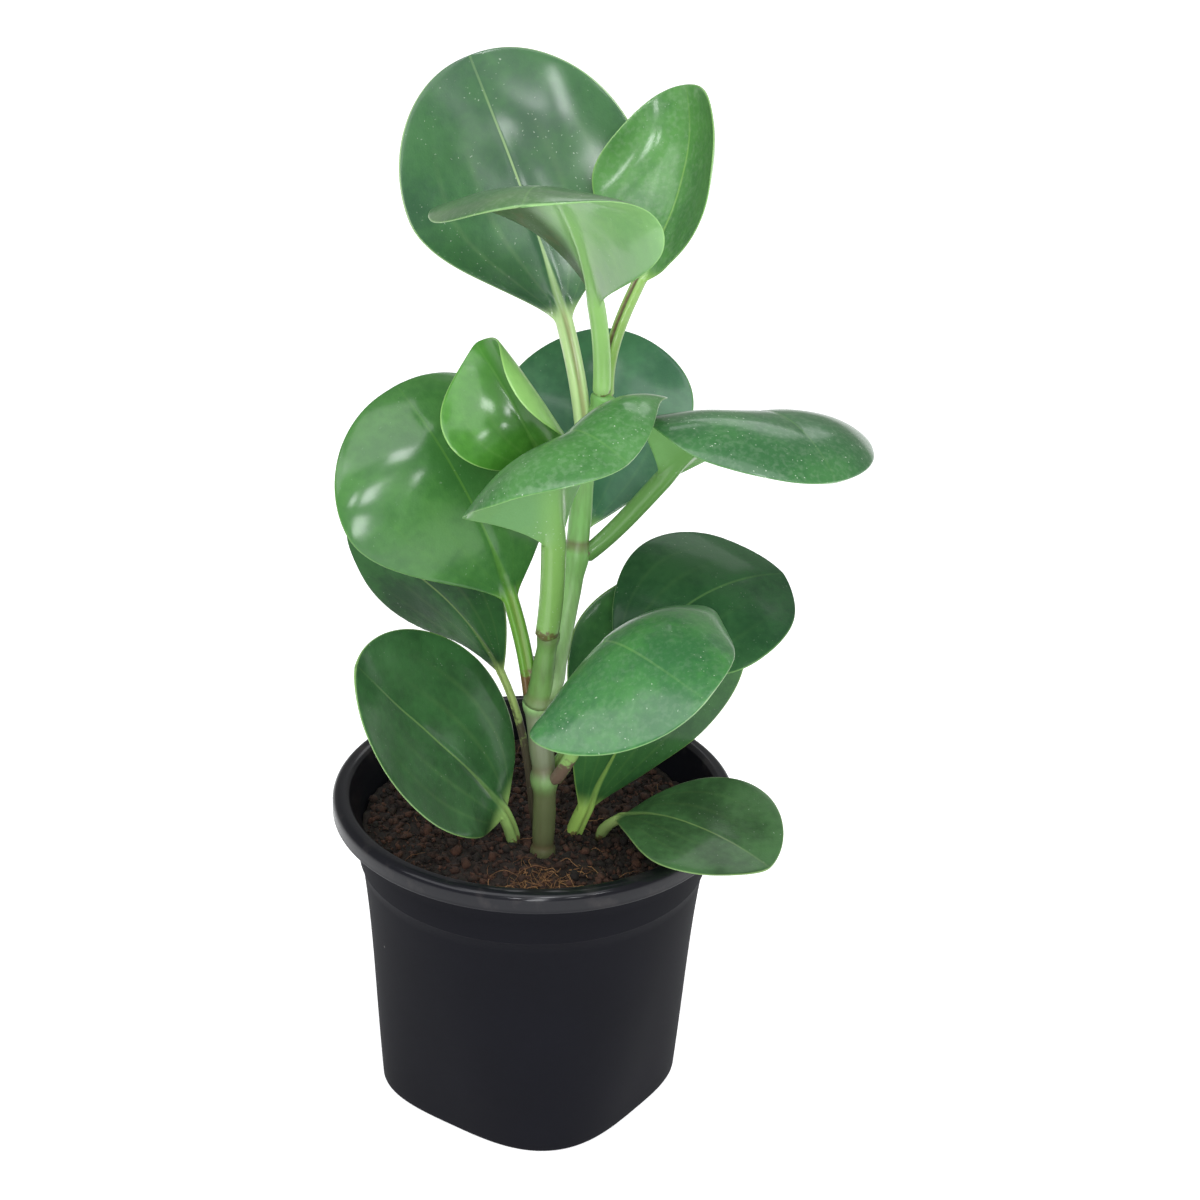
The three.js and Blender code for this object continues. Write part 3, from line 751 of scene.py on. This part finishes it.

# %% [markdown]
# ## The finish of the leaves
# A peperomia's leaf is leathery and waxy. Its upper face is a deep green that varies slowly, with faint
# veins that run beside the midrib from base to tip, a thin pale midrib and a thin pale edge where the
# light comes through. The lower face is paler and duller, and palest where the stalk runs into it. Dust
# and dried water leave a thin film and fine pale specks, and on one leaf the film is a painted sheen.
# Painted shade darkens the stalk's channel, one half of one lower face and, in part, the greens of the
# leaf that lies under the others. Under the wax the skin is satin, which is the shader's own roughness,
# and the wax on top mirrors the windows more sharply, which is its coat.

# %% Leaf skin
def leaf_skin(
    name, deep, light, under, stalk, dust=0.3, film_and_sheen=0.0, rib=0.5, edge=0.35,
    foot="#6b5a3a", foot_reach=2.0, channel="#7d8a4e", channel_shade=0.4, gloss=1.0,
    painted_shade_half=None,
):
    material, tree = new_material(name)
    where = add_node(tree, "TexCoord").outputs["Object"]
    read = {
        key: add_node(tree, "Attribute", attribute_name=key).outputs["Fac"]
        for key in ("share", "foot", "rib", "rim", "across", "face")
    }

    def noise_of(size, detail=3.0):
        return add_node(tree, "TexNoise", {
            "Vector": where, "Scale": 1 / (size * MM), "Detail": detail,
        }).outputs["Fac"]

    def ramp(value, low, high, to_low=0.0, to_high=1.0):
        return add_node(tree, "MapRange", {
            "Value": value, "From Min": low, "From Max": high, "To Min": to_low, "To Max": to_high,
        }, interpolation_type="SMOOTHSTEP").outputs["Result"]

    def math_of(kind, a, b):
        return add_node(tree, "Math", {0: a, 1: b}, operation=kind).outputs["Value"]

    def mixed(factor, a, b):
        return add_node(tree, "Mix", {
            FACTOR: factor, COLOUR_A: a, COLOUR_B: b,
        }, data_type="RGBA").outputs[MIXED]

    clouds = noise_of(22)
    fine = noise_of(2.5, 4.0)
    growth = math_of("ADD", math_of("MULTIPLY", clouds, 0.75), math_of("MULTIPLY", fine, 0.25))
    pale = linear(stalk)
    top = mixed(ramp(growth, 0.36, 0.64), linear(deep), linear(light))
    # Side veins run from base to tip, a third and two thirds of the way out.
    out = math_of("ABSOLUTE", read["across"], 0.0)
    for way_out, width in ((0.33, 0.05), (0.64, 0.045)):
        off = math_of("ABSOLUTE", math_of("SUBTRACT", out, way_out), 0.0)
        vein = math_of(
            "MULTIPLY", ramp(off, 0.0, width, 0.045, 0.0), ramp(read["share"], 0.3, 0.9, 1.0, 0.0)
        )
        top = mixed(vein, top, pale)
    rib_width = ramp(read["share"], 0.0, 0.35, 2.0, 0.45)
    rib_line = ramp(math_of("DIVIDE", read["rib"], rib_width), 0.4, 1.1, rib, 0.0)
    top = mixed(math_of("MULTIPLY", rib_line, ramp(read["share"], 0.5, 1.0, 1.0, 0.2)), top, pale)
    ridge = math_of(
        "MULTIPLY", ramp(read["rib"], 0.0, 9.0, 0.8, 0.0), ramp(read["share"], 0.0, 0.8, 1.0, 0.0)
    )
    bottom = mixed(ramp(growth, 0.35, 0.65, 0.0, 0.25), linear(under), pale)
    bottom = mixed(ridge, bottom, pale)
    # Painted shade: the right half of the lower face is a darker olive, with a few brown marks of its own.
    if painted_shade_half:  # the right half of the lower face, with a few brown marks
        mark = ramp(noise_of(5, 4.0), 0.56, 0.66, 0.0, 0.35)
        shade_and_marks = mixed(mark, linear(painted_shade_half), linear("#5b4a34"))
        bottom = mixed(ramp(read["across"], -0.5, -0.12, 0.9, 0.0), bottom, shade_and_marks)
    colour = mixed(read["face"], bottom, top)
    colour = mixed(ramp(read["rim"], 0.15, 0.6, edge, 0.0), colour, pale)
    in_stalk = ramp(read["share"], 0.01, 0.09, 1.0, 0.0)
    colour = mixed(in_stalk, colour, pale)
    # Painted shade: the stalk's channel is darker than its two edges. Its foot is brown or purple at the
    # old sheath.
    painted_channel_shade = math_of("MULTIPLY", ramp(read["rib"], 0.2, 1.2, channel_shade, 0.0), read["face"])
    colour = mixed(math_of("MULTIPLY", painted_channel_shade, in_stalk), colour, linear(channel))
    ragged_foot = 1.5 + foot_reach / 6  # mm, how far the stain's end wanders
    stained = math_of("ADD", read["foot"], ramp(fine, 0.3, 0.7, -ragged_foot, ragged_foot))
    colour = mixed(ramp(stained, foot_reach * 0.7, foot_reach * 1.1, 0.85, 0.0), colour, linear(foot))
    # Dust: specks under a millimetre wide, in patches, and a film on the upper face, which on the top right
    # leaf is a painted sheen.
    ragged = add_node(tree, "VectorMath", {
        0: add_node(tree, "TexNoise", {"Vector": where, "Scale": 1 / (0.9 * MM)}).outputs["Color"],
        1: (1.3 * MM, 1.3 * MM, 1.3 * MM), 2: where,
    }, operation="MULTIPLY_ADD").outputs["Vector"]
    specks = add_node(tree, "TexVoronoi", {"Vector": ragged, "Scale": 1 / (1.7 * MM)})
    patches = noise_of(14)
    speck = math_of(
        "MULTIPLY", ramp(specks.outputs["Distance"], 0.06, 0.15, dust, 0.0), ramp(patches, 0.44, 0.62)
    )
    film_and_sheen_patches = math_of("MULTIPLY", ramp(noise_of(1.6, 5.0), 0.42, 0.72, 0.0, film_and_sheen), read["face"])
    dust_and_sheen = math_of("MAXIMUM", speck, film_and_sheen_patches)
    colour = mixed(dust_and_sheen, colour, linear("#b5c2b0"))
    skin = add_node(tree, "TexVoronoi", {"Vector": where, "Scale": 1 / (0.8 * MM)})
    quilted = math_of("MULTIPLY", noise_of(8, 1.0), 8.0)
    pitted = math_of("ADD", math_of("MULTIPLY", skin.outputs["Distance"], 0.4), fine)
    relief = add_node(tree, "Bump", {
        "Height": math_of("ADD", pitted, quilted),
        "Strength": 0.3, "Distance": 0.25 * MM,
    })
    shader = add_node(tree, "BsdfPrincipled", {
        "Base Color": colour,
        "Roughness": math_of("ADD", ramp(growth, 0.35, 0.65, 0.36, 0.44), math_of("MULTIPLY", dust_and_sheen, 0.4)),
        "IOR": 1.45,
        "Specular IOR Level": 0.06 + 0.14 * gloss,
        "Normal": relief.outputs["Normal"],
        "Coat Weight": ramp(dust_and_sheen, 0.0, 0.5, 0.6 * gloss, 0.1 * gloss),
        "Coat Roughness": 0.15,
    })
    add_node(tree, "OutputMaterial", {"Surface": shader.outputs["BSDF"]})
    return material


# %% Each leaf's colours, a few with painted shade and sheen
LEAF_LOOKS = {
    "leaf_top": dict(
        deep="#2d5235", light="#386439", under="#7aa866", stalk="#b6d491", dust=0.6,
        channel="#86774f", channel_shade=0.6,
    ),
    "leaf_top_right": dict(
        # its pale film is a painted sheen, milky over the upper face
        deep="#3f6f3a", light="#528744", under="#86b274", stalk="#8bb35d", dust=0.3, film_and_sheen=0.1,
        channel="#5f4634", channel_shade=0.9,
    ),
    "leaf_top_front": dict(
        deep="#43683f", light="#54784a", under="#6f9c62", stalk="#99c976",
        # the darker olive on one half of the lower face is painted shade
        dust=0.6, film_and_sheen=0.1, painted_shade_half="#3d5031",
    ),
    "leaf_young": dict(
        deep="#387023", light="#4c8830", under="#729f54", stalk="#a3cf78", dust=0.05, rib=0.1,
    ),
    "leaf_front_middle": dict(
        deep="#386a35", light="#497c41", under="#6b9662", stalk="#759f54", dust=0.95, film_and_sheen=0.1,
        foot="#5c4a30", foot_reach=5.0,
    ),
    "leaf_right": dict(
        deep="#2e5d34", light="#396c3a", under="#6d9c5c", stalk="#5b8745", dust=0.9, film_and_sheen=0.08,
        foot="#55382e", foot_reach=3.5,
    ),
    "leaf_back": dict(
        deep="#315f43", light="#40734e", under="#6a985a", stalk="#7aa857", dust=0.2, rib=0.15,
    ),
    "leaf_left": dict(
        deep="#305f2a", light="#407134", under="#6a985a", stalk="#5f8f34", dust=0.15, rib=0.35,
        foot="#65392f", foot_reach=11.0,
    ),
    "leaf_right_middle": dict(
        deep="#23462b", light="#315935", under="#6a985a", stalk="#7da65e", dust=0.3, gloss=0.3, rib=0.22,
    ),
    "leaf_right_front": dict(
        deep="#32633a", light="#417a40", under="#74a668", stalk="#86ab62", dust=0.8, film_and_sheen=0.06, rib=0.25,
        foot="#5c3240", foot_reach=12.0,
    ),
    "leaf_left_dark": dict(
        # its greens are darker than the other leaves', partly its own colour and partly painted shade from
        # the leaves above
        deep="#213e25", light="#2e572d", under="#6a985a", stalk="#8aa05e", dust=0.3, rib=0.3, gloss=0.1,
        foot="#3a2330", foot_reach=44.0,
    ),
    "leaf_lower_left": dict(
        deep="#254827", light="#315c31", under="#6a985a", stalk="#98bc6c", dust=0.2, rib=0.25,
    ),
    "leaf_tall_right": dict(
        deep="#284f2b", light="#386534", under="#6a985a", stalk="#9cc060", dust=0.3, gloss=0.5,
    ),
    "leaf_lower_right": dict(
        deep="#2f4a2d", light="#43673e", under="#6a985a", stalk="#8fa865", dust=0.3, rib=0.35, gloss=0.4,
    ),
}
for name, look in LEAF_LOOKS.items():
    leaves[name].data.materials.append(leaf_skin("waxy_" + name, **look))

# %% [markdown]
# ## The finish of the stem
#
# Fleshy green bark with a thin skin. Older internodes turn purple-grey and then olive brown, joints are
# paler, and dried sheaths leave brown rings. Those four are stored on the skin's vertices, and fine streaks
# run along the stem.

# %% Stem skin
def stem_skin():
    material, tree = new_material("fleshy_stem")
    where = add_node(tree, "TexCoord").outputs["Object"]
    read = {
        key: add_node(tree, "Attribute", attribute_name=key).outputs["Fac"]
        for key in ("purple", "brown", "pale", "ring")
    }
    stretched = add_node(tree, "Mapping", {"Vector": where, "Scale": (1.0, 1.0, 0.18)})
    streaks = add_node(tree, "TexNoise", {
        "Vector": stretched.outputs["Vector"], "Scale": 1 / (1.6 * MM), "Detail": 4.0,
    })
    colour = linear("#6ca752")
    layers = (("pale", "#9abd82", 0.85), ("brown", "#524a33", 0.9), ("purple", "#6e5a60", 0.85),
              ("ring", "#5f4032", 0.8))
    for key, tint, strength in layers:
        amount = add_node(tree, "Math", {0: read[key], 1: strength}, operation="MULTIPLY")
        colour = add_node(tree, "Mix", {
            FACTOR: amount.outputs["Value"], COLOUR_A: colour, COLOUR_B: linear(tint),
        }, data_type="RGBA").outputs[MIXED]
    streaked = add_node(tree, "MapRange", {
        "Value": streaks.outputs["Fac"], "From Min": 0.4, "From Max": 0.75, "To Min": 0.0, "To Max": 0.3,
    })
    colour = add_node(tree, "Mix", {
        FACTOR: streaked.outputs["Result"], COLOUR_A: colour, COLOUR_B: linear("#4e4a33"),
    }, data_type="RGBA").outputs[MIXED]
    relief = add_node(tree, "Bump", {
        "Height": streaks.outputs["Fac"], "Strength": 0.4, "Distance": 0.2 * MM,
    })
    shader = add_node(tree, "BsdfPrincipled", {
        "Base Color": colour, "Roughness": 0.42, "IOR": 1.45, "Normal": relief.outputs["Normal"],
        "Coat Weight": 0.15, "Coat Roughness": 0.3,
    })
    add_node(tree, "OutputMaterial", {"Surface": shader.outputs["BSDF"]})
    return material


stem.data.materials.append(stem_skin())

# %% [markdown]
# ## The finish of the pot
#
# Black polypropylene, moulded against a satin steel tool: nearly black with a cold cast, an even satin
# light, and a polished rim. Handling leaves fine dust, and watering leaves brown smears on the rim.

# %% Moulded plastic
def moulded_plastic():
    material, tree = new_material("moulded_polypropylene")
    where = add_node(tree, "TexCoord").outputs["Object"]
    grain = add_node(tree, "TexNoise", {"Vector": where, "Scale": 1 / (0.6 * MM), "Detail": 3.0})
    clouds = add_node(tree, "TexNoise", {"Vector": where, "Scale": 1 / (30 * MM), "Detail": 4.0})
    smears = add_node(tree, "TexNoise", {"Vector": where, "Scale": 1 / (9 * MM), "Detail": 6.0})
    place = add_node(tree, "SeparateXYZ", {"Vector": where})
    on_rim = add_node(tree, "MapRange", {
        "Value": place.outputs["Z"], "From Min": 100.5 * MM, "From Max": 103 * MM,
        "To Min": 0.0, "To Max": 1.0,
    })
    smear = add_node(tree, "MapRange", {
        "Value": smears.outputs["Fac"], "From Min": 0.56, "From Max": 0.72, "To Min": 0.0, "To Max": 0.22,
    })
    dirty = add_node(tree, "Math", {0: smear.outputs["Result"], 1: on_rim.outputs["Result"]},
                     operation="MULTIPLY")
    colour = add_node(tree, "Mix", {
        FACTOR: clouds.outputs["Fac"], COLOUR_A: linear("#0b0b10"), COLOUR_B: linear("#101017"),
    }, data_type="RGBA").outputs[MIXED]
    colour = add_node(tree, "Mix", {
        FACTOR: dirty.outputs["Value"], COLOUR_A: colour, COLOUR_B: linear("#504a48"),
    }, data_type="RGBA").outputs[MIXED]
    specks = add_node(tree, "TexVoronoi", {"Vector": where, "Scale": 1 / (17 * MM), "Randomness": 1.0})
    speck = add_node(tree, "MapRange", {
        "Value": specks.outputs["Distance"], "From Min": 0.012, "From Max": 0.03,
        "To Min": 0.35, "To Max": 0.0,
    })
    colour = add_node(tree, "Mix", {
        FACTOR: speck.outputs["Result"], COLOUR_A: colour, COLOUR_B: linear("#8d8a86"),
    }, data_type="RGBA").outputs[MIXED]
    rough = add_node(tree, "MapRange", {
        "Value": on_rim.outputs["Result"], "From Min": 0.0, "From Max": 1.0, "To Min": 0.7, "To Max": 0.46,
    })
    polish = add_node(tree, "Math", {0: on_rim.outputs["Result"], 1: 0.4}, operation="MULTIPLY")
    roughened = add_node(tree, "Math", {
        0: rough.outputs["Result"], 1: dirty.outputs["Value"],
    }, operation="ADD")
    relief = add_node(tree, "Bump", {
        "Height": grain.outputs["Fac"], "Strength": 0.25, "Distance": 0.08 * MM,
    })
    shader = add_node(tree, "BsdfPrincipled", {
        "Base Color": colour, "Roughness": roughened.outputs["Value"], "IOR": 1.49,
        "Specular IOR Level": 0.08, "Normal": relief.outputs["Normal"],
        "Coat Weight": polish.outputs["Value"], "Coat Roughness": 0.12,
    })
    add_node(tree, "OutputMaterial", {"Surface": shader.outputs["BSDF"]})
    return material


pot.data.materials.append(moulded_plastic())

# %% [markdown]
# ## The finish of the soil
#
# Moist peat is almost black with red-brown crumbs. Coir fibres are straw to orange. Each crumb and fibre
# carries one random tone, which picks its colour between two ends.

# %% Peat and coir
def earthy(name, dark, bright, size, roughness, toned):
    """A matt, crumbly colour between two ends, by noise and, on loose pieces, by their own tone."""
    material, tree = new_material(name)
    where = add_node(tree, "TexCoord").outputs["Object"]
    grain = add_node(tree, "TexNoise", {"Vector": where, "Scale": 1 / (size * MM), "Detail": 6.0})
    factor = grain.outputs["Fac"]
    if toned:
        tone = add_node(tree, "Attribute", attribute_name="tone").outputs["Fac"]
        half = add_node(tree, "Math", {0: factor, 1: tone}, operation="ADD")
        factor = add_node(tree, "Math", {0: half.outputs["Value"], 1: 0.5}, operation="MULTIPLY").outputs[0]
    shown = add_node(tree, "MapRange", {
        "Value": factor, "From Min": 0.3, "From Max": 0.8, "To Min": 0.0, "To Max": 1.0,
    })
    colour = add_node(tree, "Mix", {
        FACTOR: shown.outputs["Result"], COLOUR_A: linear(dark), COLOUR_B: linear(bright),
    }, data_type="RGBA").outputs[MIXED]
    relief = add_node(tree, "Bump", {
        "Height": grain.outputs["Fac"], "Strength": 0.8, "Distance": 0.5 * MM,
    })
    shader = add_node(tree, "BsdfPrincipled", {
        "Base Color": colour, "Roughness": roughness, "Normal": relief.outputs["Normal"],
    })
    add_node(tree, "OutputMaterial", {"Surface": shader.outputs["BSDF"]})
    return material


soil.data.materials.append(earthy("moist_peat", "#100b08", "#2b1c15", 2.2, 0.92, False))
crumbs.data.materials.append(earthy("peat_crumb", "#150e0a", "#472b1e", 1.5, 0.9, True))
fibres.data.materials.append(earthy("coir", "#4d2f1c", "#a0764c", 3.0, 0.8, True))

# %% [markdown]
# ## Which piece stands for which node
#
# Everything here is one body, because nothing in a potted plant is jointed. Each finished piece rides on
# that body, and the leaves, stem, pot and soil take the place of their nodes in the imported model.

# %% Ride and replace
for name, piece in leaves.items():
    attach(piece, "root")
    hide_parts(name)
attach(stem, "root")
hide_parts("stem")
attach(pot, "root")
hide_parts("pot")
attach(soil, "root")
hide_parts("soil")
for piece in (crumbs, fibres):
    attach(piece, "root")

# %% [markdown]
# ## Floor, light and camera
#
# A pale floor without an edge in view, soft daylight from above in front, six window panes that the waxy
# leaves mirror, weaker light from the sides and the back, and light all round. The camera stands where the
# photograph was taken from: a little above the plant and looking down on it, with a long lens.

# %% Floor
floor_shape = bmesh.new()
bmesh.ops.create_grid(floor_shape, x_segments=1, y_segments=1, size=8)
floor = finished_object("floor", floor_shape)
floor_material, floor_tree = new_material("pale_floor")
floor_shader = add_node(floor_tree, "BsdfPrincipled", {
    "Base Color": linear("#f2f2f2"), "Roughness": 0.9,
    "Emission Color": linear("#ffffff"), "Emission Strength": 0.55,
})
add_node(floor_tree, "OutputMaterial", {"Surface": floor_shader.outputs["BSDF"]})
floor.data.materials.append(floor_material)

# %% Lights
scene = bpy.context.scene
world = bpy.data.worlds.new("studio")
world.use_nodes = True
world.node_tree.nodes["Background"].inputs["Color"].default_value = linear("#f5f6f4")
world.node_tree.nodes["Background"].inputs["Strength"].default_value = 0.36
scene.world = world
scene.view_settings.view_transform = "Standard"

LOOK_AT = Vector((0, 0, 0.22))
# Azimuth and elevation seen from the plant in degrees, distance, width and height in m, and watts.
LAMPS = {
    "sky": ((-88, 63), 1.5, (1.6, 0.9), 15.0),
    "left": ((-147, 40), 1.7, (1.1, 0.7), 8.0),
    "right": ((8, 10), 1.7, (1.2, 0.9), 4.0),
    "back": ((76, 42), 1.7, (1.0, 0.6), 5.0),
}
PANES = {  # the windows that the wax mirrors, in the same order of values
    "tall, low": ((-87, 5), 1.25, (0.2, 0.28), 3.2),
    "tall, middle": ((-85, 25), 1.25, (0.17, 0.2), 2.4),
    "tall, high": ((-79, 45), 1.25, (0.18, 0.2), 2.2),
    "left": ((-98, 25), 1.25, (0.12, 0.16), 1.3),
    "right": ((-66, 24), 1.25, (0.11, 0.13), 1.0),
    "far right": ((-49, 36), 1.25, (0.15, 0.12), 1.2),
}


def softbox(name, direction, away, size, power):
    """A rectangular lamp that faces the plant from a direction."""
    azimuth, elevation = (math.radians(angle) for angle in direction)
    light = bpy.data.lights.new(name, "AREA")
    light.shape = "RECTANGLE"
    light.size, light.size_y = size
    light.energy = power
    light.color = linear("#f6f8fb")[:3]
    lamp = bpy.data.objects.new(name, light)
    lamp.location = LOOK_AT + away * Vector((
        math.cos(azimuth) * math.cos(elevation),
        math.sin(azimuth) * math.cos(elevation),
        math.sin(elevation),
    ))
    lamp.rotation_euler = (LOOK_AT - lamp.location).to_track_quat("-Z", "Y").to_euler()
    scene.collection.objects.link(lamp)


for name, lamp in LAMPS.items():
    softbox(name, *lamp)
for name, pane in PANES.items():
    softbox(name, *pane)
print(len(LAMPS), "lamps and", len(PANES), "window panes")

# %% Camera
CAMERA = dict(place=(19.4, -864.3, 611.0), pitch=26.67, roll=1.69, lens=92.7)
camera = bpy.data.objects.new("camera", bpy.data.cameras.new("camera"))
camera.data.lens = CAMERA["lens"]
camera.location = Vector(CAMERA["place"]) * MM
tilt = Matrix.Rotation(math.radians(90 - CAMERA["pitch"]), 3, "X")
roll = Matrix.Rotation(math.radians(CAMERA["roll"]), 3, "Z")
camera.rotation_euler = (tilt @ roll).to_euler()
scene.collection.objects.link(camera)
scene.camera = camera
